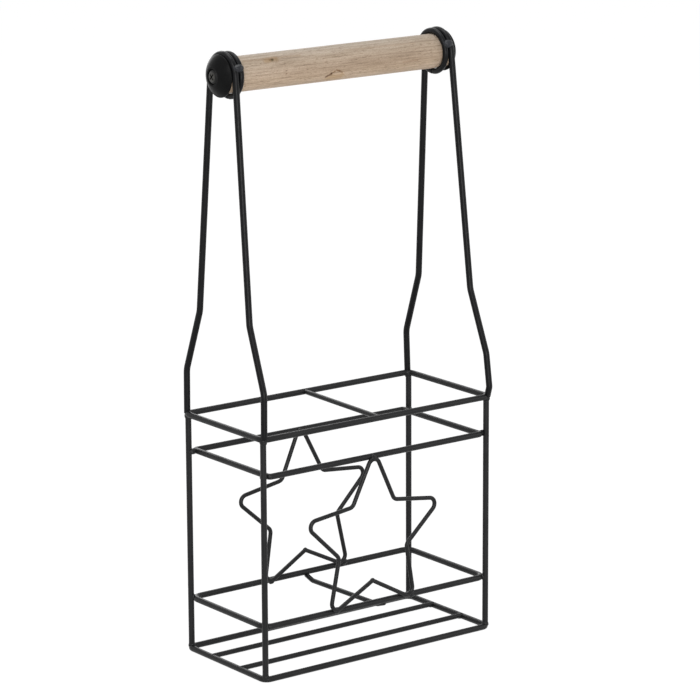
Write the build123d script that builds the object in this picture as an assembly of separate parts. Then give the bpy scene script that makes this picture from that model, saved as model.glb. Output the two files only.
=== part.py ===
from build123d import *
import os
from math import asin, atan2, cos, degrees, hypot, radians, sin, sqrt

# Two-bottle wire caddy, in millimetres.
# +X runs along the handle's grip, -Y is the front, +Z is up.
# The origin is on the standing surface, midway between the four corner posts.

# Wires, by diameter
frame_wire = 4.2
hoop_wire = 4.5
slat_wire = 3.5
divider_wire = 3.4
star_wire = 2.9

# Welds: how far two crossing wires sink into each other
weld_sink = 0.3

# Cage: centre lines of the four posts and of the rings they carry
post_spacing_x = 200.3
post_spacing_y = 92.0
top_ring_height = 177.7
middle_ring_drop = 27.7
middle_ring_gap = 0.9
lower_ring_height = 40.2
outer_ring_bend = 5.0
middle_ring_bend = 2.0
lower_ring_bend = 7.0
corner_bead_diameter = 3.6

# Floor slats, butted between the short rails of the base ring
slat_spacing = 35.0
slat_rise = 1.0

# Dividers between the two bottles
top_divider_front_x = 1.2
top_divider_back_x = 4.4
lower_divider_front_x = 6.6
lower_divider_back_x = 2.8
lower_divider_drop = 5.0
lower_divider_end_drop = 2.2
lower_divider_end_length = 8.0
lower_divider_bend = 6.0

# Stars, bent from one wire each and welded on the front side of the rails
star_inset = 1.6
star_tip_bend = 5.0
star_notch_bend = 5.0
star_notch_share = 0.49
star_points = 5
front_star_x = -5.9
front_star_turn = 0.7
back_star_x = -0.8
back_star_turn = -2.0

# Handle hoops, which stand on the corners of the top ring
grip_axis_height = 427.6
hoop_spacing = 189.6
hoop_shift = -3.2
leg_spacing_y = 94.8
lower_kink_rise = 32.7
upper_kink_rise = 45.5
upper_kink_spacing = 60.7
kink_bend = 16.0
foot_bow = 2.6
foot_rise = 8.0
foot_bend = 5.0

# Wooden grip and the wire rings that keep it under the hoops
grip_diameter = 25.0
grip_edge_chamfer = 0.8
running_clearance = 0.3
strand_gap = 0.5
ring_end_gap = 0.6
strand_bead_diameter = 3.8
strand_bead_angle = 24.0

# Domed end caps
cap_diameter = 30.0
cap_height = 6.4
cap_rim = 0.9
cap_bulge = 0.6
cap_nose_diameter = 13.6
cap_socket_depth = 1.5
cap_recess_diameter = 11.2
cap_recess_depth = 1.3

# Cross-head screws, driven into the ends of the grip
screw_head_diameter = 9.8
screw_head_height = 1.8
screw_head_rim = 0.7
screw_shank_diameter = 4.0
screw_length = 24.0
screw_tip_length = 5.0
cross_length = 5.6
cross_width = 1.2
cross_depth = 1.0

cut_overrun = 1.0

base_ring_height = frame_wire / 2
weld_reach = frame_wire - weld_sink
post_x = post_spacing_x / 2
post_y = post_spacing_y / 2


def swept_wire(path, diameter):
    """Round wire along a path."""
    section = Plane(origin=path @ 0, z_dir=path % 0) * Circle(diameter / 2)
    return sweep(section, path)


def straight_wire(start, end, diameter):
    """Straight round wire between two points."""
    return swept_wire(Line(start, end), diameter)


def write(node, solid):
    """One STEP file for one piece."""
    export_step(solid, os.path.join("parts", node + ".step"))


# Rings: two U-shaped halves, butt-welded in the middle of the long rails

def ring(half_x, half_y, height, bend):
    corners = [
        (0, -half_y, height),
        (half_x, -half_y, height),
        (half_x, half_y, height),
        (0, half_y, height),
    ]
    half = swept_wire(FilletPolyline(*corners, radius=bend), frame_wire)
    return half + mirror(half, about=Plane.YZ)


# The top and base rings lie on the ends of the posts, so their corner arcs cross the posts' axes.
outer_growth = outer_ring_bend * (1 - sqrt(1 / 2))
outer_half_x = post_x + outer_growth
outer_half_y = post_y + outer_growth

# The lower ring fits between the posts, with each corner arc welded to a post's inner side.
lower_inset = (weld_reach - lower_ring_bend * (sqrt(2) - 1)) / sqrt(2)
lower_half_x = post_x - lower_inset
lower_half_y = post_y - lower_inset

# The middle ring is in line with the posts and a little short, so a bead bridges each corner.
middle_half_x = post_x - frame_wire - middle_ring_gap
middle_half_y = post_y
middle_ring_height = top_ring_height - middle_ring_drop

top_ring = ring(outer_half_x, outer_half_y, top_ring_height, outer_ring_bend)
base_ring = ring(outer_half_x, outer_half_y, base_ring_height, outer_ring_bend)
middle_ring = ring(middle_half_x, middle_half_y, middle_ring_height, middle_ring_bend)
for right in (-1, 1):
    for back in (-1, 1):
        inner_end = (right * (middle_half_x - middle_ring_bend), back * middle_half_y, middle_ring_height)
        outer_end = (right * (post_x - frame_wire / 4), back * middle_half_y, middle_ring_height)
        middle_ring += straight_wire(inner_end, outer_end, corner_bead_diameter)
lower_ring = ring(lower_half_x, lower_half_y, lower_ring_height, lower_ring_bend)


# Posts: saddle-cut at both ends to sit on the base ring and carry the top ring

def post(x, y):
    saddle = frame_wire / 4
    foot = (x, y, base_ring_height + saddle)
    head = (x, y, top_ring_height - saddle)
    shaft = straight_wire(foot, head, frame_wire)
    return shaft - base_ring - top_ring - middle_ring - lower_ring


# Floor slats, a little above the middle of the short rails

def slat(y):
    left = (-outer_half_x, y, base_ring_height + slat_rise)
    right = (outer_half_x, y, base_ring_height + slat_rise)
    return straight_wire(left, right, slat_wire) - base_ring


# Dividers: the top one is butted between the long rails, the lower one hangs under them
# with both ends bent up against the rails

def top_divider():
    front = (top_divider_front_x, -outer_half_y, top_ring_height)
    back = (top_divider_back_x, outer_half_y, top_ring_height)
    return straight_wire(front, back, divider_wire) - top_ring


def lower_divider():
    low = lower_ring_height - lower_divider_drop
    end_low = lower_ring_height - lower_divider_end_drop
    front = Vector(lower_divider_front_x, -lower_half_y)
    back = Vector(lower_divider_back_x, lower_half_y)
    end_step = (back - front).normalized() * lower_divider_end_length
    route = [
        front + Vector(0, 0, end_low),
        front + end_step + Vector(0, 0, low),
        back - end_step + Vector(0, 0, low),
        back + Vector(0, 0, end_low),
    ]
    path = FilletPolyline(*route, radius=lower_divider_bend)
    return swept_wire(path, divider_wire) - lower_ring


# Stars: five points that reach from one inner ring to the other and rest against the front of
# their rails, with the ends of the wire meeting in the notch at the bottom

def star(centre_x, side, turn):
    reach = (frame_wire + star_wire) / 2 - weld_sink
    lap = sqrt(reach**2 - star_inset**2)
    foot = Vector(centre_x, side * lower_half_y - lap, lower_ring_height + star_inset)
    head = Vector(centre_x, side * middle_half_y - lap, middle_ring_height - star_inset)
    plane = Plane(origin=foot, x_dir=(1, 0, 0), z_dir=Vector(1, 0, 0).cross(head - foot))
    step = radians(180 / star_points)
    half_angle = atan2(star_notch_share * sin(step), 1 - star_notch_share * cos(step))
    arc_centre_radius = ((head - foot).length - 2 * star_tip_bend) / (1 + cos(step))
    tip_radius = arc_centre_radius + star_tip_bend / sin(half_angle)
    notch_radius = tip_radius * star_notch_share
    centre_rise = star_tip_bend + arc_centre_radius * cos(step)

    def corner(index):
        radius = tip_radius if index % 2 == 0 else notch_radius
        angle = index * step + radians(turn)
        return plane.from_local_coords(Vector(radius * sin(angle), centre_rise + radius * cos(angle)))

    # Each half starts in the middle of the side right of the top tip and ends in the bottom notch.
    start = (corner(0) + corner(1)) / 2
    right = [start] + [corner(index) for index in range(1, star_points + 1)]
    left = [start] + [corner(-index) for index in range(star_points + 1)]
    halves = []
    for route, first in ((right, 1), (left, 0)):
        bends = [
            star_notch_bend if (first + index) % 2 else star_tip_bend
            for index in range(len(route) - 2)
        ]
        halves.append(swept_wire(FilletPolyline(*route, radius=bends), star_wire))
    welded = halves[0] + halves[1] - middle_ring - lower_ring
    # What the wire sinks into a rail can stay behind as a small lens; only the wire itself is kept.
    return max(welded.solids(), key=lambda piece: piece.volume)


# Handle: each hoop lies in a plane that leans inwards from the posts to the end of the grip

coil_radius = grip_diameter / 2 + running_clearance + hoop_wire / 2


def hoop_plane(side):
    """Local X runs to the back, local Y up the hoop, from the middle of the top ring's short rail."""
    foot = Vector(side * post_x, 0, top_ring_height)
    head = Vector(hoop_shift + side * hoop_spacing / 2, 0, grip_axis_height)
    return Plane(origin=foot, x_dir=(0, 1, 0), z_dir=Vector(0, 1, 0).cross(head - foot))


def hoop_rise(side):
    """Length from the top ring to the grip's axis, measured in the hoop's plane."""
    run = post_x - side * hoop_shift - hoop_spacing / 2
    return hypot(run, grip_axis_height - top_ring_height)


def hoop(side, front_foot_bow):
    plane = hoop_plane(side)
    rise = hoop_rise(side)
    slant = rise / (grip_axis_height - top_ring_height)
    lower_kink = lower_kink_rise * slant
    upper_kink = lower_kink + upper_kink_rise * slant
    kink_y = upper_kink_spacing / 2
    leg_y = leg_spacing_y / 2
    # The legs run straight from the upper kinks and touch the arc that goes over the grip.
    reach = hypot(kink_y, rise - upper_kink)
    leg_lean = atan2(kink_y, rise - upper_kink) - asin(coil_radius / reach)
    apex = rise + coil_radius / sin(leg_lean)
    outline = [
        (-leg_y, frame_wire / 4),
        (-leg_y, lower_kink),
        (-kink_y, upper_kink),
        (0, apex),
        (kink_y, upper_kink),
        (leg_y, lower_kink),
        (leg_y, frame_wire / 4),
    ]
    bends = [kink_bend, kink_bend, coil_radius, kink_bend, kink_bend]
    if front_foot_bow:
        outline.insert(1, (-leg_y - front_foot_bow, foot_rise))
        bends.insert(0, foot_bend)
    points = [plane.from_local_coords(Vector(y, height)) for y, height in outline]
    return swept_wire(FilletPolyline(*points, radius=bends), hoop_wire) - top_ring


def grip_ring(side, over_grip):
    """Wire ring beside the hoop, its ends nearly meeting under the grip, with a weld bead to the
    hoop at the front and the back."""
    pitch = hoop_wire + strand_gap
    plane = hoop_plane(side)
    centre = plane.from_local_coords(Vector(0, hoop_rise(side), -side * pitch))
    seat = Plane(origin=centre, x_dir=plane.x_dir, z_dir=plane.z_dir)
    opening = degrees(ring_end_gap / coil_radius)
    body = seat * swept_wire(CenterArc((0, 0), coil_radius, opening / 2 - 90, 360 - opening), hoop_wire)
    for angle in (strand_bead_angle, 180 - strand_bead_angle):
        spot = (coil_radius * cos(radians(angle)), coil_radius * sin(radians(angle)), side * pitch / 2)
        body += seat * Pos(*spot) * Cylinder(strand_bead_diameter / 2, pitch)
    return body - over_grip


# Grip, end caps and screws

def cap_plane(side):
    """Local Z points outwards along the grip's axis, from the cap's inner face."""
    run = post_x - side * hoop_shift - hoop_spacing / 2
    lean = abs(run) / (grip_axis_height - top_ring_height)
    offset = hoop_wire / 2 + running_clearance + cap_diameter / 2 * lean
    face_x = hoop_shift + side * (hoop_spacing / 2 + offset)
    return Plane(origin=(face_x, 0, grip_axis_height), x_dir=(0, 1, 0), z_dir=(side, 0, 0))


def cap(side):
    radius = cap_diameter / 2
    nose = cap_nose_diameter / 2
    slope = atan2(radius - nose, cap_height - cap_rim)
    crown = (
        (radius + nose) / 2 + cap_bulge * cos(slope),
        (cap_rim + cap_height) / 2 + cap_bulge * sin(slope),
    )
    outline = Polyline((0, 0), (radius, 0), (radius, cap_rim))
    outline += ThreePointArc((radius, cap_rim), crown, (nose, cap_height))
    outline += Polyline((nose, cap_height), (0, cap_height), (0, 0))
    body = revolve(Plane.XZ * make_face(outline), axis=Axis.Z)
    body -= Pos(0, 0, cap_socket_depth / 2) * Cylinder(grip_diameter / 2, cap_socket_depth)
    recess_floor = cap_height - cap_recess_depth
    recess = Cylinder(cap_recess_diameter / 2, cap_recess_depth)
    body -= Pos(0, 0, recess_floor + cap_recess_depth / 2) * recess
    body -= Cylinder(screw_shank_diameter / 2, 2 * (cap_height + cut_overrun))
    return cap_plane(side) * body


def screw(side):
    seat = cap_height - cap_recess_depth
    head = screw_head_diameter / 2
    shank = screw_shank_diameter / 2
    top = seat + screw_head_height
    tip = seat - screw_length
    outline = Polyline(
        (0, top),
        (0, tip),
        (shank, tip + screw_tip_length),
        (shank, seat),
        (head, seat),
        (head, seat + screw_head_rim),
    )
    bulge = (head * sqrt(3) / 2, seat + screw_head_rim + (screw_head_height - screw_head_rim) / 2)
    outline += ThreePointArc((head, seat + screw_head_rim), bulge, (0, top))
    body = revolve(Plane.XZ * make_face(outline), axis=Axis.Z)
    slot = Box(cross_length, cross_width, 2 * cross_depth)
    for angle in (45, 135):
        body -= Pos(0, 0, top) * Rot(0, 0, angle) * slot
    return cap_plane(side) * body


def grip(screws):
    left = cap_plane(-1).origin.X - cap_socket_depth
    right = cap_plane(1).origin.X + cap_socket_depth
    middle = Plane(origin=((left + right) / 2, 0, grip_axis_height), z_dir=(1, 0, 0))
    bar = Cylinder(grip_diameter / 2, right - left)
    body = middle * chamfer(bar.edges().filter_by(GeomType.CIRCLE), grip_edge_chamfer)
    for fastener in screws:
        body -= fastener
    return body


os.makedirs("parts", exist_ok=True)

write("top_ring", top_ring)
write("middle_ring", middle_ring)
write("lower_ring", lower_ring)
write("base_ring", base_ring)

for depth_name, depth_sign in (("front", -1), ("back", 1)):
    for side_name, side_sign in (("left", -1), ("right", 1)):
        write(f"post_{depth_name}_{side_name}", post(side_sign * post_x, depth_sign * post_y))
    write(f"base_slat_{depth_name}", slat(depth_sign * slat_spacing / 2))

write("top_divider", top_divider())
write("lower_divider", lower_divider())
write("star_front", star(front_star_x, -1, front_star_turn))
write("star_back", star(back_star_x, 1, back_star_turn))

screws = []
for side_name, side_sign, front_foot_bow in (("left", -1, 0), ("right", 1, foot_bow)):
    side_hoop = hoop(side_sign, front_foot_bow)
    write(f"handle_hoop_{side_name}", side_hoop)
    write(f"grip_ring_{side_name}", grip_ring(side_sign, side_hoop))
    write(f"cap_{side_name}", cap(side_sign))
    side_screw = screw(side_sign)
    write(f"screw_{side_name}", side_screw)
    screws.append(side_screw)
write("grip", grip(screws))
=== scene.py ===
import math

import bmesh
import bpy
from mathutils import Matrix, Vector, noise

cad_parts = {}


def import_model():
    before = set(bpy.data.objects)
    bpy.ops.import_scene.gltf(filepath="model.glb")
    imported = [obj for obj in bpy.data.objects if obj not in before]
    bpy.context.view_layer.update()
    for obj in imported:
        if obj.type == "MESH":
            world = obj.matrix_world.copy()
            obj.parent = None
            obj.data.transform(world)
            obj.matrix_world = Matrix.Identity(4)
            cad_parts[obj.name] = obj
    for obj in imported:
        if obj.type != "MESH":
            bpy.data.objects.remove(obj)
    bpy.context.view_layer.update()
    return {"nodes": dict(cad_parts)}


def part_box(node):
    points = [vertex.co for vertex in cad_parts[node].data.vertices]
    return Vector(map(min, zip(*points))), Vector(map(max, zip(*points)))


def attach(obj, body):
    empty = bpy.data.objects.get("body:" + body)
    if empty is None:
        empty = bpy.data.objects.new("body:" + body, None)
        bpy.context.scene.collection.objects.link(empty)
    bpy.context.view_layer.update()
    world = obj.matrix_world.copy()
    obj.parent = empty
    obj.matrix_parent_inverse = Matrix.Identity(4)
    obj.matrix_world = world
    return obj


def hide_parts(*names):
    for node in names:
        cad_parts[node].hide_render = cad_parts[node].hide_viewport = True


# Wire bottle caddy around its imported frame. Metres; +X along the grip, -Y is the front, +Z is up.
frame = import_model()

MM = 0.001


def middle(node):
    low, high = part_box(node)
    return (low + high) / 2


def extent(node):
    low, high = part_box(node)
    return high - low


# The coat thickens the wires. Paths on the outside of the frame go inward by as much, so its box stays.
COAT_BUILD = 0.00012

# Wire radii, places and heights read from the frame
WIRE = extent("top_ring").z / 2
SLAT_WIRE = extent("base_slat_front").y / 2
DIVIDER_WIRE = extent("top_divider").z / 2
GRIP = middle("grip")
AXIS_Z = GRIP.z
GRIP_RADIUS = extent("grip").z / 2
POST_X = middle("post_front_right").x
POST_Y = middle("post_back_right").y
TOP_Z = middle("top_ring").z
MIDDLE_Z = middle("middle_ring").z
LOWER_Z = middle("lower_ring").z
BASE_Z = middle("base_ring").z + COAT_BUILD
OUTER_X = extent("top_ring").x / 2 - WIRE - COAT_BUILD
OUTER_Y = extent("top_ring").y / 2 - WIRE - COAT_BUILD
LOWER_X = extent("lower_ring").x / 2 - WIRE
LOWER_Y = extent("lower_ring").y / 2 - WIRE

# Rings: corner bends, and the middle ring's room inside the posts
OUTER_RING_BEND = 0.0050
MIDDLE_RING_BEND = 0.0020
LOWER_RING_BEND = 0.0070
MIDDLE_RING_GAP = 0.0009
MIDDLE_X = POST_X - 2 * WIRE - MIDDLE_RING_GAP
MIDDLE_Y = POST_Y

# Dividers between the two bottles
TOP_DIVIDER_FRONT_X = 0.0012
TOP_DIVIDER_BACK_X = 0.0044
LOWER_DIVIDER_FRONT_X = 0.0066
LOWER_DIVIDER_BACK_X = 0.0028
LOWER_DIVIDER_DROP = 0.0050
LOWER_DIVIDER_END_DROP = 0.0022
LOWER_DIVIDER_END_LENGTH = 0.0080
LOWER_DIVIDER_BEND = 0.0060

# Stars: wire radius, how far its centre line keeps from the rails', bends, and each one's place and turn in
# degrees
STAR_WIRE = 0.00145
WELD_SINK = 0.0003
STAR_REACH = WIRE + STAR_WIRE - WELD_SINK
STAR_POINTS = 5
STAR_INSET = 0.0016
STAR_TIP_BEND = 0.0050
STAR_NOTCH_BEND = 0.0050
STAR_NOTCH_SHARE = 0.49
STAR_END_LAP = 0.0007
FRONT_STAR_X, FRONT_STAR_TURN = -0.0059, 0.7
BACK_STAR_X, BACK_STAR_TURN = -0.0008, -2.0

# Handle hoops
HOOP_WIRE = 0.00225
HOOP_SPACING = 0.1896
HOOP_SHIFT = -0.0032
LEG_SPACING_Y = 0.0948 - 2 * COAT_BUILD
LOWER_KINK_RISE = 0.0327
UPPER_KINK_RISE = 0.0455
UPPER_KINK_SPACING = 0.0607
KINK_BEND = 0.0160
FOOT_BOW = 0.0026
FOOT_RISE = 0.0080
FOOT_BEND = 0.0050
RUNNING_CLEARANCE = 0.0003
COIL_RADIUS = GRIP_RADIUS + RUNNING_CLEARANCE + HOOP_WIRE - COAT_BUILD

# Rings beside the hoops, and the angle in degrees of the saddles that join them
STRAND_GAP = 0.0005
RING_WIRE = 0.00212
RING_CLEARANCE = 0.00012
RING_END_GAP = 0.0006
SADDLE_ANGLE = 24.0

# Grip and caps; an edge's arc takes at most 1 / EDGE_ROOM of either side
GRIP_CHAMFER = 0.8 * MM
GRIP_UNEVENNESS = 0.006
CAP_RADIUS = 15.0 * MM
CAP_HEIGHT = 6.4 * MM
CAP_RIM = 0.9 * MM
CAP_NOSE_RADIUS = 6.8 * MM
CAP_BULGE = 0.6 * MM
CAP_HOLE_RADIUS = 2.2 * MM
CAP_RECESS_RADIUS = 5.6 * MM
CAP_RECESS_FLOOR = 5.1 * MM
CAP_SOCKET_DEPTH = 1.5 * MM
CAP_EDGE = 0.25 * MM
EDGE_ROOM = 2.2

# Painted shade in a screw's cross: how deep it begins, where it is full, its strength there and its colour
CROSS_SHADE_START = 0.25 * MM
CROSS_SHADE_FULL = 0.60 * MM
CROSS_SHADE = 0.96
CROSS_SHADE_COLOUR = (0.002, 0.002, 0.002)

# Fineness of the meshes
WIRE_SIDES = 28
TURNED_SIDES = 128
ARC_STEP = 0.0008
RUN_STEP = 0.004
RING_STEPS = 96
GRIP_RUNS = 100
DOME_STEPS = 16
EDGE_STEPS = 4
BEAD_SUBDIVISIONS = 4

# Unevenness of the coat and of the weld beads: its share of the radius, and how fast it changes with place
COAT_WAVES, COAT_WAVE_RATE = 0.006, 110.0
COAT_RIPPLES, COAT_RIPPLE_RATE = 0.003, 500.0
BEAD_LUMPS, BEAD_LUMP_RATE, BEAD_PLACE_RATE = 0.10, 1.6, 900.0
TURNED_WAVE_RATES = (9, 60, 60)

# A wire's cut end: where its rings stand, in radii from the end, and how far the edge is rounded
CUT_END_STOPS = (0.0, 0.06, 0.16, 0.30)
CUT_END_ROUNDING = 0.35


# Materials

def material(name, specular):
    made = bpy.data.materials.new(name)
    made.use_nodes = True
    nodes, links = made.node_tree.nodes, made.node_tree.links
    shader = nodes["Principled BSDF"]
    shader.inputs["Specular IOR Level"].default_value = specular
    return made, nodes, links, shader


def object_place(nodes, links, stretch=(1, 1, 1)):
    """Object coordinates; a stretch below 1 draws the pattern out along that axis."""
    place = nodes.new("ShaderNodeTexCoord").outputs["Object"]
    mapping = nodes.new("ShaderNodeMapping")
    mapping.inputs["Scale"].default_value = stretch
    links.new(place, mapping.inputs["Vector"])
    return mapping.outputs["Vector"]


def speckle(nodes, links, place, scale, detail, rough=0.5):
    texture = nodes.new("ShaderNodeTexNoise")
    texture.inputs["Scale"].default_value = scale
    texture.inputs["Detail"].default_value = detail
    texture.inputs["Roughness"].default_value = rough
    links.new(place, texture.inputs["Vector"])
    return texture.outputs["Fac"]


def remap(nodes, links, value, low, high, new_low, new_high):
    made = nodes.new("ShaderNodeMapRange")
    for key, number in (("From Min", low), ("From Max", high), ("To Min", new_low), ("To Max", new_high)):
        made.inputs[key].default_value = number
    links.new(value, made.inputs["Value"])
    return made.outputs["Result"]


def tones(nodes, links, value, stops):
    """Colour ramp from (position, colour) stops."""
    made = nodes.new("ShaderNodeValToRGB")
    elements = made.color_ramp.elements
    while len(elements) < len(stops):
        elements.new(0.5)
    for element, (position, colour) in zip(elements, stops):
        element.position = position
        element.color = (*colour, 1.0)
    links.new(value, made.inputs["Fac"])
    return made.outputs["Color"]


def mix(nodes, links, amount, first, second, mode="MIX"):
    """Mix of a colour socket with a colour socket or plain colour; amount is a socket or a number."""
    made = nodes.new("ShaderNodeMix")
    made.data_type = "RGBA"
    made.blend_type = mode
    # The colour sockets of this node are the last two inputs and the third output.
    factor, a, b = made.inputs[0], made.inputs[6], made.inputs[7]
    if isinstance(amount, float):
        factor.default_value = amount
    else:
        links.new(amount, factor)
    links.new(first, a)
    if isinstance(second, tuple):
        b.default_value = (*second, 1.0)
    else:
        links.new(second, b)
    return made.outputs[2]


def arithmetic(nodes, links, operation, first, second):
    """Number from a socket and either another socket or a plain number."""
    made = nodes.new("ShaderNodeMath")
    made.operation = operation
    links.new(first, made.inputs[0])
    if isinstance(second, float):
        made.inputs[1].default_value = second
    else:
        links.new(second, made.inputs[1])
    return made.outputs["Value"]


def bump(nodes, links, height, strength, distance, below=None):
    made = nodes.new("ShaderNodeBump")
    made.inputs["Strength"].default_value = strength
    made.inputs["Distance"].default_value = distance
    links.new(height, made.inputs["Height"])
    if below is not None:
        links.new(below, made.inputs["Normal"])
    return made.outputs["Normal"]


def along_axis(nodes, links, axis):
    """The object's own coordinate along an axis."""
    parts = nodes.new("ShaderNodeSeparateXYZ")
    links.new(object_place(nodes, links), parts.inputs["Vector"])
    return parts.outputs[axis]


def dark_finish(name, dark, light, roughness, specular, grain, relief):
    """Black finish: slow changes of tone and gloss over a fine grain; relief is the grain's depth."""
    made, nodes, links, shader = material(name, specular)
    place = object_place(nodes, links)
    slow = speckle(nodes, links, place, scale=70.0, detail=4.0)
    links.new(tones(nodes, links, slow, [(0.3, dark), (0.7, light)]), shader.inputs["Base Color"])
    gloss = speckle(nodes, links, place, scale=260.0, detail=5.0, rough=0.6)
    links.new(remap(nodes, links, gloss, 0.32, 0.68, *roughness), shader.inputs["Roughness"])
    fine = speckle(nodes, links, place, grain, detail=3.0, rough=0.6)
    dimples = bump(nodes, links, fine, strength=0.35, distance=relief)
    ripples = bump(nodes, links, gloss, strength=0.15, distance=2 * relief, below=dimples)
    links.new(ripples, shader.inputs["Normal"])
    return made


# Wood: (position in the noise, colour) stops of its own tone, of painted light from the underside to the top
# (lighter and warmer underneath, cooler at the top), and the shares left of its colour by grain lines,
# flecks and dust
WOOD_TONES = [(0.30, (0.396, 0.305, 0.220)), (0.50, (0.448, 0.352, 0.260)), (0.72, (0.502, 0.404, 0.310))]
WOOD_PAINTED_UNDERLIGHT = [(0.04, (1.17, 1.11, 1.05)), (0.50, (1.07, 1.055, 1.065)), (0.92, (0.96, 0.995, 1.04))]
GRAIN_SHADES = [(0.28, (0.48, 0.43, 0.38)), (0.44, (0.86, 0.84, 0.81)),
                (0.58, (1.00, 1.00, 1.00)), (0.75, (1.12, 1.12, 1.12))]
FLECK_SHADES = [(0.30, (0.46, 0.40, 0.34)), (0.40, (1.0, 1.0, 1.0))]
DUST_SHADES = [(0.32, (0.82, 0.81, 0.79)), (0.68, (1.15, 1.15, 1.16))]

# Marks in the wood: two ends of each mark, its half width, how far it fades, its colour and strength
WOOD_MARKS = [
    # upper knot: its halo, a long grain line through it, and the two dark parts of the knot
    ((-0.0680, -0.0088, 0.4363), (-0.0590, -0.0084, 0.4367), 0.0006, 0.0034, (0.78, 0.66, 0.47), 0.75),
    ((-0.0862, -0.0075, 0.4374), (-0.0379, -0.0079, 0.4371), 0.0000, 0.0011, (0.70, 0.57, 0.42), 0.50),
    ((-0.0648, -0.0089, 0.4362), (-0.0640, -0.0089, 0.4363), 0.0002, 0.0012, (0.50, 0.38, 0.25), 0.80),
    ((-0.0627, -0.0089, 0.4363), (-0.0621, -0.0089, 0.4363), 0.0006, 0.0014, (0.24, 0.22, 0.13), 0.95),
    # small lower knot
    ((-0.0532, -0.0124, 0.4260), (-0.0526, -0.0124, 0.4261), 0.0001, 0.0007, (0.42, 0.30, 0.22), 0.90),
    # split: the pale wedge, its dark start, the arc over the wedge in four parts, and a spot under it
    ((-0.0140, -0.0090, 0.4190), (-0.0040, -0.0090, 0.4192), 0.0015, 0.0045, (0.92, 0.82, 0.62), 0.70),
    ((-0.0170, -0.0099, 0.4200), (-0.0130, -0.0112, 0.4221), 0.0004, 0.0012, (0.25, 0.15, 0.09), 0.95),
    ((-0.0130, -0.0112, 0.4221), (-0.0105, -0.0117, 0.4234), 0.0003, 0.0012, (0.50, 0.38, 0.22), 0.85),
    ((-0.0090, -0.0121, 0.4244), (-0.0065, -0.0118, 0.4234), 0.0002, 0.0010, (0.50, 0.35, 0.20), 0.80),
    ((-0.0065, -0.0118, 0.4234), (-0.0038, -0.0112, 0.4222), 0.0001, 0.0010, (0.62, 0.46, 0.30), 0.70),
    ((-0.0038, -0.0112, 0.4222), (0.0032, -0.0070, 0.4172), 0.0001, 0.0009, (0.72, 0.58, 0.42), 0.50),
    ((-0.0136, -0.0066, 0.4169), (-0.0131, -0.0065, 0.4169), 0.0002, 0.0010, (0.50, 0.38, 0.28), 0.80),
    # two long grain lines
    ((0.0013, -0.0081, 0.4370), (0.0633, -0.0089, 0.4363), 0.0000, 0.0009, (0.72, 0.60, 0.48), 0.45),
    ((0.0500, -0.0121, 0.4243), (0.0635, -0.0121, 0.4246), 0.0000, 0.0008, (0.62, 0.46, 0.36), 0.50),
]


def mark(nodes, links, start, end, core, fade, ragged):
    """1 on the line between two points, falling to 0 at the fade distance."""
    start, end = Vector(start), Vector(end)
    length = (end - start).length
    direction = (end - start).normalized()
    place = nodes.new("ShaderNodeTexCoord").outputs["Object"]

    def vector_math(operation, first, second=None, scale=None):
        made = nodes.new("ShaderNodeVectorMath")
        made.operation = operation
        links.new(first, made.inputs[0])
        if isinstance(second, Vector):
            made.inputs[1].default_value = second
        elif second is not None:
            links.new(second, made.inputs[1])
        if scale is not None:
            links.new(scale, made.inputs["Scale"])
        return made.outputs["Value" if operation in ("LENGTH", "DOT_PRODUCT") else "Vector"]

    away = vector_math("SUBTRACT", place, start)
    along = vector_math("DOT_PRODUCT", away, direction)
    held = nodes.new("ShaderNodeClamp")
    held.inputs["Max"].default_value = length
    links.new(along, held.inputs["Value"])
    unit = nodes.new("ShaderNodeCombineXYZ")
    for key, number in zip("XYZ", direction):
        unit.inputs[key].default_value = number
    nearest = vector_math("SCALE", unit.outputs["Vector"], scale=held.outputs["Result"])
    distance = vector_math("LENGTH", vector_math("SUBTRACT", away, nearest))
    uneven = arithmetic(nodes, links, "MULTIPLY", distance, ragged)
    return remap(nodes, links, uneven, core, fade, 1.0, 0.0)


def wood():
    """Bare sanded hardwood dowel: fine grain along X, dark flecks, two knots, a small split and painted
    light by height.
    """
    made, nodes, links, shader = material("sanded_wood", specular=0.22)
    shader.inputs["Sheen Weight"].default_value = 0.12

    def grain(stretch, scale, detail, rough=0.5):
        return speckle(nodes, links, object_place(nodes, links, (stretch, 1, 1)), scale, detail, rough)

    def shaded(amount, colour, value, stops):
        return mix(nodes, links, amount, colour, tones(nodes, links, value, stops), "MULTIPLY")

    slow = grain(0.10, scale=90.0, detail=3.0)
    lines = grain(0.030, scale=900.0, detail=4.0, rough=0.6)
    flecks = grain(0.16, scale=1700.0, detail=2.0)
    dust = grain(0.35, scale=2300.0, detail=3.0, rough=0.7)
    ragged = remap(nodes, links, grain(0.5, scale=800.0, detail=3.0, rough=0.6), 0.3, 0.7, 0.65, 1.45)
    height = remap(nodes, links, along_axis(nodes, links, "Z"),
                   AXIS_Z - GRIP_RADIUS, AXIS_Z + GRIP_RADIUS, 0.0, 1.0)
    colour = tones(nodes, links, slow, WOOD_TONES)
    # Painted light: lighter and warmer underneath, cooler towards the top
    colour = shaded(1.0, colour, height, WOOD_PAINTED_UNDERLIGHT)
    colour = shaded(0.90, colour, lines, GRAIN_SHADES)
    colour = shaded(0.85, colour, flecks, FLECK_SHADES)
    colour = shaded(1.0, colour, dust, DUST_SHADES)
    for start, end, core, fade, tint, strength in WOOD_MARKS:
        there = mark(nodes, links, start, end, core, fade, ragged)
        amount = arithmetic(nodes, links, "MULTIPLY", there, strength)
        colour = mix(nodes, links, amount, colour, tint, "MULTIPLY")
    links.new(colour, shader.inputs["Base Color"])
    links.new(remap(nodes, links, slow, 0.3, 0.7, 0.66, 0.52), shader.inputs["Roughness"])
    grooves = bump(nodes, links, lines, strength=0.35, distance=0.00010)
    pores = bump(nodes, links, flecks, strength=0.35, distance=0.00012, below=grooves)
    links.new(pores, shader.inputs["Normal"])
    return made


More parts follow.
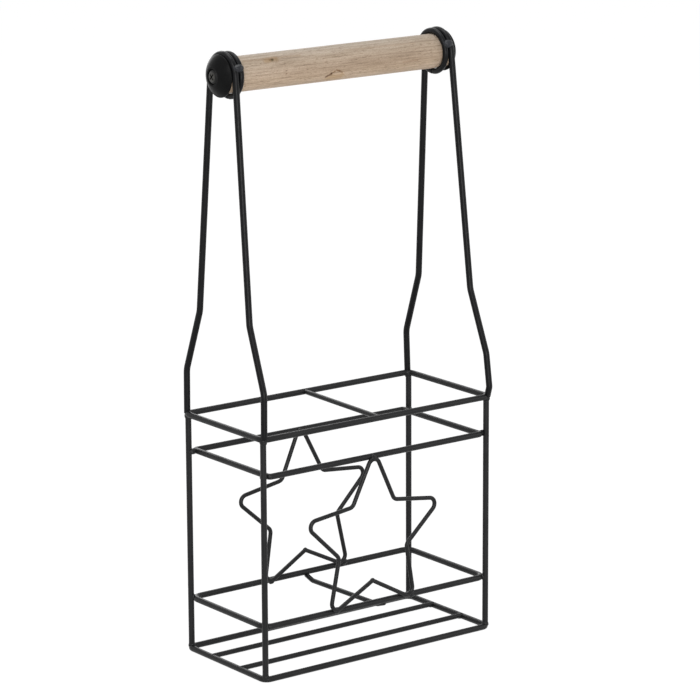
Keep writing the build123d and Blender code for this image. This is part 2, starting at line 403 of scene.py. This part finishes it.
COAT_TEXTURE = {"roughness": (0.27, 0.40), "grain": 1100.0, "relief": 0.00007}
COAT = dark_finish("powder_coat", dark=(0.0080, 0.0081, 0.0086), light=(0.0142, 0.0144, 0.0152),
                   specular=0.18, **COAT_TEXTURE)
# A darker copy of the cage's powder coat for the hoops and the rings beside them: painted shade on the same
# coat
HOOP_PAINTED_SHADE_COAT = dark_finish("hoop_painted_shade_coat", dark=(0.0026, 0.0027, 0.0032), light=(0.0052, 0.0054, 0.0062),
                        specular=0.14, **COAT_TEXTURE)
# A lighter, bluer copy of the powder coat for the weld saddles: a painted highlight on the same coat
SADDLE_PAINTED_HIGHLIGHT_COAT = dark_finish("saddle_painted_highlight_coat", dark=(0.0150, 0.0158, 0.0190), light=(0.0240, 0.0250, 0.0300),
                          specular=0.20, **COAT_TEXTURE)
PLASTIC = dark_finish("cap_plastic", dark=(0.0034, 0.0035, 0.0036), light=(0.0062, 0.0063, 0.0064),
                      roughness=(0.28, 0.40), specular=0.06, grain=2200.0, relief=0.00005)
WOOD = wood()


# Meshes

def new_object(name, bm, surface, smooth=True):
    mesh = bpy.data.meshes.new(name)
    bmesh.ops.recalc_face_normals(bm, faces=bm.faces)
    bm.to_mesh(mesh)
    bm.free()
    for polygon in mesh.polygons:
        polygon.use_smooth = smooth
    piece = bpy.data.objects.new(name, mesh)
    bpy.context.scene.collection.objects.link(piece)
    mesh.materials.append(surface)
    return piece


def corner_arc(before, corner, after, bend):
    """Points of the arc of radius bend that rounds a corner."""
    to_before = (before - corner).normalized()
    to_after = (after - corner).normalized()
    half = to_before.angle(to_after) / 2
    setback = bend / math.tan(half)
    centre = corner + (to_before + to_after).normalized() * (bend / math.sin(half))
    start = corner + to_before * setback - centre
    end = corner + to_after * setback - centre
    sweep = math.pi - 2 * half
    axis = start.cross(end).normalized()
    count = max(4, int(sweep * bend / ARC_STEP) + 1)
    return [centre + Matrix.Rotation(sweep * i / count, 3, axis) @ start for i in range(count + 1)]


def wire_path(points, bends=(), closed=False):
    """Straight runs joined by tangent arcs, as an evenly divided list of points."""
    points = [Vector(p) for p in points]
    count = len(points)
    stops = []
    for i, corner in enumerate(points):
        if closed or 0 < i < count - 1:
            bend = bends[i if closed else i - 1]
            stops.append(corner_arc(points[i - 1], corner, points[(i + 1) % count], bend))
        else:
            stops.append([corner])
    path = []
    for i, stop in enumerate(stops):
        path.extend(stop)
        if i == count - 1 and not closed:
            break
        start, end = stop[-1], stops[(i + 1) % count][0]
        parts = max(1, int((end - start).length / RUN_STEP))
        path.extend(start.lerp(end, k / parts) for k in range(1, parts))
    return path


def bridge(bm, first, second, shift=0):
    """Faces between two rings of vertices, the second one turned by shift vertices."""
    sides = len(first)
    for k in range(sides):
        bm.faces.new((first[k], first[(k + 1) % sides],
                      second[(k + 1 + shift) % sides], second[(k + shift) % sides]))


def cut_end(path, radius):
    """Points and radius shares of a wire's cut end, with a small rounded edge."""
    inward = (path[1] - path[0]).normalized()
    return [(path[0] + inward * radius * stop,
             math.sqrt(1 - CUT_END_ROUNDING * (1 - stop / CUT_END_STOPS[-1]) ** 2))
            for stop in CUT_END_STOPS]


def tube(name, path, radius, surface, closed=False):
    """Drawn wire: round, with the slight unevenness of its coat and rounded cut ends."""
    stops = [(point, 1.0) for point in path]
    if not closed:
        stops = cut_end(path, radius) + stops[1:-1] + cut_end(path[::-1], radius)[::-1]
    count = len(stops)
    bm = bmesh.new()
    rings = []
    across = None
    for i, (point, share) in enumerate(stops):
        before = stops[i - 1][0] if closed or i else point
        after = stops[(i + 1) % count][0] if closed or i < count - 1 else point
        tangent = (after - before).normalized()
        across = tangent.orthogonal() if across is None else across
        across = (across - tangent * across.dot(tangent)).normalized()
        up = tangent.cross(across)
        coat = (1 - COAT_WAVES * (1 + noise.noise(point * COAT_WAVE_RATE))
                - COAT_RIPPLES * (1 + noise.noise(point * COAT_RIPPLE_RATE)))
        ring = []
        for k in range(WIRE_SIDES):
            angle = 2 * math.pi * k / WIRE_SIDES
            out = across * math.cos(angle) + up * math.sin(angle)
            ring.append(bm.verts.new(point + out * radius * share * coat))
        rings.append(ring)
    for first, second in zip(rings, rings[1:]):
        bridge(bm, first, second)
    if closed:
        # The last ring meets the first where their vertices lie nearest.
        gaps = [(vertex.co - rings[-1][0].co).length for vertex in rings[0]]
        bridge(bm, rings[-1], rings[0], gaps.index(min(gaps)))
    else:
        bm.faces.new(rings[0])
        bm.faces.new(rings[-1][::-1])
    return new_object(name, bm, surface)


def cage_wire(node, path, radius=WIRE, closed=False, surface=COAT):
    """A wire of the cage that stands for its node."""
    piece = tube(node + "_wire", path, radius + COAT_BUILD, surface, closed)
    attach(piece, "cage")
    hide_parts(node)


def weld_beads(name, spots, surface=COAT):
    """Drops of weld metal under the coat: (place, half sizes) each, slightly lumpy."""
    bm = bmesh.new()
    for place, half_sizes in spots:
        place = Vector(place)
        made = bmesh.ops.create_icosphere(bm, subdivisions=BEAD_SUBDIVISIONS, radius=1.0)
        for vertex in made["verts"]:
            out = vertex.co.copy()
            lump = 1 - BEAD_LUMPS * (1 + noise.noise(out * BEAD_LUMP_RATE + place * BEAD_PLACE_RATE))
            vertex.co = place + Vector(a * b for a, b in zip(out, half_sizes)) * lump
    piece = new_object(name, bm, surface)
    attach(piece, "cage")


def corner_beads(name, x, y, z, half_sizes):
    """The same bead in the cage's four corners."""
    weld_beads(name, [((right * x, back * y, z), half_sizes) for right in (-1, 1) for back in (-1, 1)])


# Cage

def ring_piece(node, half_x, half_y, height, bend):
    corners = [(half_x, -half_y, height), (half_x, half_y, height),
               (-half_x, half_y, height), (-half_x, -half_y, height)]
    cage_wire(node, wire_path(corners, [bend] * 4, closed=True), closed=True)


def lower_divider():
    """The wire under the lower ring; returns its two ends."""
    front = Vector((LOWER_DIVIDER_FRONT_X, -LOWER_Y, LOWER_Z - LOWER_DIVIDER_END_DROP))
    back = Vector((LOWER_DIVIDER_BACK_X, LOWER_Y, LOWER_Z - LOWER_DIVIDER_END_DROP))
    step = (back - front).normalized() * LOWER_DIVIDER_END_LENGTH
    down = Vector((0, 0, LOWER_DIVIDER_DROP - LOWER_DIVIDER_END_DROP))
    route = [front, front + step - down, back - step - down, back]
    cage_wire("lower_divider", wire_path(route, [LOWER_DIVIDER_BEND] * 2), DIVIDER_WIRE)
    return front, back


def star(node, centre_x, side, turn):
    """The star's wire; returns the places of its welds to the rails and of the weld between its ends."""
    lap = math.sqrt(STAR_REACH ** 2 - STAR_INSET ** 2)
    foot = Vector((centre_x, side * LOWER_Y - lap, LOWER_Z + STAR_INSET))
    head = Vector((centre_x, side * MIDDLE_Y - lap, MIDDLE_Z - STAR_INSET))
    up = (head - foot).normalized()
    across = Vector((1, 0, 0))
    step = math.pi / STAR_POINTS
    half_angle = math.atan2(STAR_NOTCH_SHARE * math.sin(step), 1 - STAR_NOTCH_SHARE * math.cos(step))
    arc_centre = ((head - foot).length - 2 * STAR_TIP_BEND) / (1 + math.cos(step))
    tip_radius = arc_centre + STAR_TIP_BEND / math.sin(half_angle)
    rise = STAR_TIP_BEND + arc_centre * math.cos(step)

    def spot(index, radius):
        angle = index * step + math.radians(turn)
        return foot + across * radius * math.sin(angle) + up * (rise + radius * math.cos(angle))

    # Even numbers are tips and odd ones notches, counted from the top tip. The wire's two ends run just past
    # each other in the bottom notch.
    numbers = range(-STAR_POINTS, STAR_POINTS + 1)
    corners = [spot(i, tip_radius if i % 2 == 0 else tip_radius * STAR_NOTCH_SHARE) for i in numbers]
    bends = [STAR_TIP_BEND if i % 2 == 0 else STAR_NOTCH_BEND for i in numbers[1:-1]]
    corners[0] += (corners[0] - corners[1]).normalized() * STAR_END_LAP
    corners[-1] += (corners[-1] - corners[-2]).normalized() * STAR_END_LAP
    cage_wire(node, wire_path(corners, bends), STAR_WIRE)

    # Top tip, then the two lower ones, each with its bead's move to the right and up
    welded = ((0, 0, STAR_INSET / 2),
              (1 - STAR_POINTS, 2 * STAR_WIRE, -STAR_INSET),
              (STAR_POINTS - 1, STAR_WIRE, -STAR_INSET))
    welds = [spot(index, arc_centre + STAR_TIP_BEND) + Vector((right, STAR_WIRE / 2, rises))
             for index, right, rises in welded]
    return welds, spot(STAR_POINTS, tip_radius * STAR_NOTCH_SHARE)


ring_piece("top_ring", OUTER_X, OUTER_Y, TOP_Z, OUTER_RING_BEND)
ring_piece("base_ring", OUTER_X, OUTER_Y, BASE_Z, OUTER_RING_BEND)
ring_piece("middle_ring", MIDDLE_X, MIDDLE_Y, MIDDLE_Z, MIDDLE_RING_BEND)
ring_piece("lower_ring", LOWER_X, LOWER_Y, LOWER_Z, LOWER_RING_BEND)

for depth, back in (("front", -1), ("back", 1)):
    for side, right in (("left", -1), ("right", 1)):
        x, y = right * POST_X, back * POST_Y
        cage_wire(f"post_{depth}_{side}", wire_path([(x, y, BASE_Z), (x, y, TOP_Z)]))
    slat = middle(f"base_slat_{depth}")
    slat_ends = [(right * OUTER_X, slat.y, slat.z) for right in (-1, 1)]
    cage_wire(f"base_slat_{depth}", wire_path(slat_ends), SLAT_WIRE)

top_divider_ends = [(TOP_DIVIDER_FRONT_X, -OUTER_Y, TOP_Z), (TOP_DIVIDER_BACK_X, OUTER_Y, TOP_Z)]
cage_wire("top_divider", wire_path(top_divider_ends), DIVIDER_WIRE)
lower_divider_ends = lower_divider()
front_welds, front_join = star("star_front", FRONT_STAR_X, -1, FRONT_STAR_TURN)
back_welds, back_join = star("star_back", BACK_STAR_X, 1, BACK_STAR_TURN)


# Handle hoops and the rings beside them

def hoop_frame(side):
    """Foot, direction up the hoop, its length to the grip's axis, and the way along the grip."""
    foot = Vector((side * POST_X, 0, TOP_Z))
    head = Vector((HOOP_SHIFT + side * HOOP_SPACING / 2, 0, AXIS_Z))
    up = (head - foot).normalized()
    return foot, up, (head - foot).length, Vector((0, 1, 0)).cross(up)


def hoop(name, side, front_foot_bow):
    foot, up, rise, _ = hoop_frame(side)
    slant = rise / (AXIS_Z - TOP_Z)
    lower_kink = LOWER_KINK_RISE * slant
    upper_kink = lower_kink + UPPER_KINK_RISE * slant
    kink_y = UPPER_KINK_SPACING / 2
    leg_y = LEG_SPACING_Y / 2
    reach = math.hypot(kink_y, rise - upper_kink)
    lean = math.atan2(kink_y, rise - upper_kink) - math.asin(COIL_RADIUS / reach)
    apex = rise + COIL_RADIUS / math.sin(lean)
    outline = [(-leg_y, 0), (-leg_y, lower_kink), (-kink_y, upper_kink), (0, apex),
               (kink_y, upper_kink), (leg_y, lower_kink), (leg_y, 0)]
    bends = [KINK_BEND, KINK_BEND, COIL_RADIUS, KINK_BEND, KINK_BEND]
    if front_foot_bow:
        outline.insert(1, (-leg_y - front_foot_bow, FOOT_RISE))
        bends.insert(0, FOOT_BEND)
    points = [foot + Vector((0, y, 0)) + up * height for y, height in outline]
    cage_wire(name, wire_path(points, bends), HOOP_WIRE, surface=HOOP_PAINTED_SHADE_COAT)


def grip_ring(name, side):
    """The ring beside the hoop, drawn a little tighter than the solid; returns its saddles' places."""
    foot, up, rise, along = hoop_frame(side)
    pitch = 2 * HOOP_WIRE + STRAND_GAP
    beside = foot + up * rise - along * side * pitch

    def spot(degrees, centre, radius):
        angle = math.radians(degrees)
        return centre + (Vector((0, 1, 0)) * math.cos(angle) + up * math.sin(angle)) * radius

    # The cut ends meet at the bottom, at -90 degrees.
    opening = math.degrees(RING_END_GAP / COIL_RADIUS)
    ring_radius = GRIP_RADIUS + RING_CLEARANCE + RING_WIRE
    centre = Vector((beside.x, beside.y, AXIS_Z))
    path = [spot(opening / 2 - 90 + (360 - opening) * i / RING_STEPS, centre, ring_radius)
            for i in range(RING_STEPS + 1)]
    cage_wire(name, path, RING_WIRE - COAT_BUILD, surface=HOOP_PAINTED_SHADE_COAT)
    between = beside + along * side * pitch / 2
    raised = COIL_RADIUS + HOOP_WIRE / 2
    return [spot(degrees, between, raised) for degrees in (SADDLE_ANGLE, 180 - SADDLE_ANGLE)]


saddles = []
for side_name, side_sign, bow in (("left", -1, 0), ("right", 1, FOOT_BOW)):
    hoop(f"handle_hoop_{side_name}", side_sign, bow)
    saddles += grip_ring(f"grip_ring_{side_name}", side_sign)


# Weld beads where the wires meet; their half sizes are in millimetres

def sizes(x, y, z):
    return (x * MM, y * MM, z * MM)


corner_beads("welds_top_ring", POST_X, POST_Y + 0.2 * MM, TOP_Z - 1.6 * MM, sizes(2.9, 2.9, 3.6))
corner_beads("welds_base_ring", POST_X, POST_Y, BASE_Z + 1.6 * MM, sizes(2.8, 2.8, 3.4))
corner_beads("welds_middle_ring", POST_X - 2.1 * MM, MIDDLE_Y - 2.4 * MM, MIDDLE_Z, sizes(3.6, 2.6, 2.5))
corner_beads("welds_lower_ring", POST_X - 1.4 * MM, POST_Y - 1.4 * MM, LOWER_Z, sizes(2.6, 2.6, 2.7))
back_slat = middle("base_slat_back")
corner_beads("welds_slats", OUTER_X - 2.6 * MM, back_slat.y, back_slat.z - 0.9 * MM, sizes(2.6, 2.1, 1.7))
weld_beads("welds_dividers",
           [((x, back * (OUTER_Y - 2.2 * MM), TOP_Z), sizes(2.0, 1.7, 1.9))
            for x, back in ((TOP_DIVIDER_FRONT_X, -1), (TOP_DIVIDER_BACK_X, 1))]
           + [(end + Vector((0, 0, 1.2 * MM)), sizes(1.9, 1.9, 1.6)) for end in lower_divider_ends])
weld_beads("welds_stars",
           [(place, sizes(3.0, 2.2, 2.7)) for place in front_welds + back_welds]
           + [(place, sizes(2.2, 1.9, 2.0)) for place in (front_join, back_join)])
# The saddles carry the coat with the painted highlight
weld_beads("welds_handle", [(place, sizes(4.7, 3.2, 3.3)) for place in saddles], SADDLE_PAINTED_HIGHLIGHT_COAT)


# Grip, caps and screws: turned shapes along the grip's axis

def lathe(node, profile, origin_x, outward, surface, uneven=0.0, ring=False):
    """Turned shape from (distance along the axis, radius) stops; a ring shape closes on itself."""
    bm = bmesh.new()
    rings = []
    for along, radius in profile:
        x = origin_x + outward * along
        stops = []
        for k in range(TURNED_SIDES):
            angle = 2 * math.pi * k / TURNED_SIDES
            spot = Vector((x, math.cos(angle) * radius, math.sin(angle) * radius))
            waves = noise.noise(Vector(a * b for a, b in zip(spot, TURNED_WAVE_RATES)))
            spot.yz *= 1 - uneven * abs(waves)
            stops.append(bm.verts.new(spot + Vector((0, GRIP.y, AXIS_Z))))
        rings.append(stops)
    for first, second in zip(rings, rings[1:]):
        bridge(bm, first, second)
    if ring:
        bridge(bm, rings[-1], rings[0])
    else:
        bm.faces.new(rings[0])
        bm.faces.new(rings[-1][::-1])
    piece = new_object(node + "_turned", bm, surface)
    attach(piece, "grip")
    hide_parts(node)


def rounded(profile, edge):
    """The profile with each inner corner replaced by a small arc."""
    made = [profile[0]]
    for before, corner, after in zip(profile, profile[1:], profile[2:]):
        before, corner, after = Vector(before), Vector(corner), Vector(after)
        reach = min(edge, (before - corner).length / EDGE_ROOM, (after - corner).length / EDGE_ROOM)
        start = corner + (before - corner).normalized() * reach
        end = corner + (after - corner).normalized() * reach
        for i in range(EDGE_STEPS + 1):
            t = i / EDGE_STEPS
            made.append(tuple(start * (1 - t) ** 2 + corner * 2 * t * (1 - t) + end * t ** 2))
    made.append(profile[-1])
    return made


def grip():
    half = extent("grip").x / 2
    barrel = [(-half + GRIP_CHAMFER + (2 * half - 2 * GRIP_CHAMFER) * i / GRIP_RUNS, GRIP_RADIUS)
              for i in range(GRIP_RUNS + 1)]
    end_radius = GRIP_RADIUS - GRIP_CHAMFER
    profile = [(-half, end_radius)] + barrel + [(half, end_radius)]
    lathe("grip", profile, GRIP.x, 1, WOOD, GRIP_UNEVENNESS)


def cap(node, outward):
    """Domed cap over the grip's end, with a recess for the screw's head."""
    low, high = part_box(node)
    face = high.x if outward < 0 else low.x
    start, end = Vector((CAP_RIM, CAP_RADIUS)), Vector((CAP_HEIGHT, CAP_NOSE_RADIUS))
    normal = Vector((CAP_RADIUS - CAP_NOSE_RADIUS, CAP_HEIGHT - CAP_RIM)).normalized()
    shares = [i / DOME_STEPS for i in range(DOME_STEPS + 1)]
    dome = [tuple(start.lerp(end, t) + normal * CAP_BULGE * 4 * t * (1 - t)) for t in shares]
    profile = ([(CAP_SOCKET_DEPTH, CAP_HOLE_RADIUS), (CAP_SOCKET_DEPTH, GRIP_RADIUS),
                (0, GRIP_RADIUS), (0, CAP_RADIUS)] + dome
               + [(CAP_HEIGHT, CAP_RECESS_RADIUS), (CAP_RECESS_FLOOR, CAP_RECESS_RADIUS),
                  (CAP_RECESS_FLOOR, CAP_HOLE_RADIUS)])
    lathe(node, rounded(profile, CAP_EDGE), face, outward, PLASTIC, ring=True)


def screw(node, outward):
    """Steel over the frame's own screw, with shade painted into the cross, darker the deeper it lies."""
    made = dark_finish(node + "_steel", dark=(0.044, 0.042, 0.038), light=(0.062, 0.060, 0.054),
                       roughness=(0.34, 0.48), specular=0.22, grain=2600.0, relief=0.00003)
    nodes, links = made.node_tree.nodes, made.node_tree.links
    shader = nodes["Principled BSDF"]
    steel = shader.inputs["Base Color"].links[0].from_socket
    low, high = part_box(node)
    top = high.x if outward > 0 else low.x
    # Painted shade: the steel's colour goes towards black deeper in the cross
    deep = remap(nodes, links, along_axis(nodes, links, "X"),
                 top - outward * CROSS_SHADE_START, top - outward * CROSS_SHADE_FULL, 0.0, CROSS_SHADE)
    links.new(mix(nodes, links, deep, steel, CROSS_SHADE_COLOUR), shader.inputs["Base Color"])
    mesh = frame["nodes"][node].data
    mesh.materials.clear()
    mesh.materials.append(made)


grip()
cap("cap_left", -1)
cap("cap_right", 1)
screw("screw_left", -1)
screw("screw_right", 1)


# Stage: white floor, soft light, camera

FLOOR_HALF_SIZE = 6.0
FLOOR_COLOUR = (0.88, 0.88, 0.88, 1)
FLOOR_ROUGHNESS = 0.9
FLOOR_GLOW = 1.09
FLOOR_GLOW_SHARE = 0.90
WORLD_COLOUR = (1, 1, 1, 1)
WORLD_LIGHT = 0.14
WORLD_SEEN = 1.0

# Soft lamps, all turned to the same point: name, place, size and watts
LAMP_AIM = Vector((0, 0, 0.22))
LAMPS = [
    ("key", (-1.5, -1.3, 1.7), (1.2, 1.2), 23),
    ("front", (-1.0, -2.1, 0.30), (1.6, 0.8), 25),
    ("fill", (1.7, -1.5, 0.8), (1.2, 1.2), 7),
    ("top", (0, 0.3, 2.4), (1.4, 1.4), 22),
    ("back", (0.7, 2.1, 1.1), (1.4, 1.4), 12),
]

# The photograph's camera, solved from the object's straight wires: angles in degrees
VIEW_AZIMUTH = -36.978
VIEW_ELEVATION = 13.478
VIEW_ROLL = -0.265
VIEW_AIM = Vector((0, 0, 0.202))
VIEW_DISTANCE = 2.5047
VIEW_RIGHT = -0.008385
VIEW_DOWN = 0.016073
FOCAL_PIXELS = 3471.2
IMAGE_PIXELS = 700
SENSOR_MM = 36.0
CLIP_NEAR, CLIP_FAR = 0.1, 30


def camera_rays(nodes, links, low, high):
    """A number that is high for camera, mirror and glass rays, low for all others."""
    path = nodes.new("ShaderNodeLightPath")
    value = path.outputs["Is Camera Ray"]
    for kind in ("Is Glossy Ray", "Is Transmission Ray"):
        value = arithmetic(nodes, links, "MAXIMUM", value, path.outputs[kind])
    return remap(nodes, links, value, 0.0, 1.0, low, high)


def floor():
    made, nodes, links, shader = material("floor", specular=0.1)
    shader.inputs["Base Color"].default_value = FLOOR_COLOUR
    shader.inputs["Roughness"].default_value = FLOOR_ROUGHNESS
    glow = nodes.new("ShaderNodeEmission")
    glow.inputs["Strength"].default_value = FLOOR_GLOW
    blend = nodes.new("ShaderNodeMixShader")
    links.new(camera_rays(nodes, links, 0.0, FLOOR_GLOW_SHARE), blend.inputs["Fac"])
    links.new(shader.outputs["BSDF"], blend.inputs[1])
    links.new(glow.outputs["Emission"], blend.inputs[2])
    links.new(blend.outputs["Shader"], nodes["Material Output"].inputs["Surface"])
    bm = bmesh.new()
    bm.faces.new([bm.verts.new((x * FLOOR_HALF_SIZE, y * FLOOR_HALF_SIZE, 0))
                  for x, y in ((-1, -1), (1, -1), (1, 1), (-1, 1))])
    new_object("floor", bm, made, smooth=False)


def world():
    made = bpy.data.worlds.new("studio")
    bpy.context.scene.world = made
    made.use_nodes = True
    nodes, links = made.node_tree.nodes, made.node_tree.links
    background = nodes["Background"]
    background.inputs["Color"].default_value = WORLD_COLOUR
    links.new(camera_rays(nodes, links, WORLD_LIGHT, WORLD_SEEN), background.inputs["Strength"])


def lamp(name, place, size, power):
    data = bpy.data.lights.new(name, "AREA")
    data.shape = "RECTANGLE"
    data.size, data.size_y = size
    data.energy = power
    made = bpy.data.objects.new(name, data)
    bpy.context.scene.collection.objects.link(made)
    made.location = place
    made.rotation_mode = "QUATERNION"
    made.rotation_quaternion = (LAMP_AIM - Vector(place)).to_track_quat("-Z", "Y")


def camera():
    azimuth, elevation, roll = (math.radians(v) for v in (VIEW_AZIMUTH, VIEW_ELEVATION, VIEW_ROLL))
    back = Vector((math.sin(azimuth) * math.cos(elevation),
                   -math.cos(azimuth) * math.cos(elevation),
                   math.sin(elevation)))
    level = (-back).cross(Vector((0, 0, 1))).normalized()
    upright = level.cross(-back)
    right = level * math.cos(roll) + upright * math.sin(roll)
    up = upright * math.cos(roll) - level * math.sin(roll)
    data = bpy.data.cameras.new("view")
    data.sensor_width = SENSOR_MM
    data.lens = FOCAL_PIXELS / IMAGE_PIXELS * SENSOR_MM
    data.clip_start, data.clip_end = CLIP_NEAR, CLIP_FAR
    made = bpy.data.objects.new("view", data)
    bpy.context.scene.collection.objects.link(made)
    place = VIEW_AIM - right * VIEW_RIGHT + up * VIEW_DOWN + back * VIEW_DISTANCE
    made.matrix_world = Matrix.Translation(place) @ Matrix((right, up, back)).transposed().to_4x4()
    bpy.context.scene.camera = made


floor()
world()
for lamp_row in LAMPS:
    lamp(*lamp_row)
camera()
bpy.context.scene.view_settings.view_transform = "Standard"
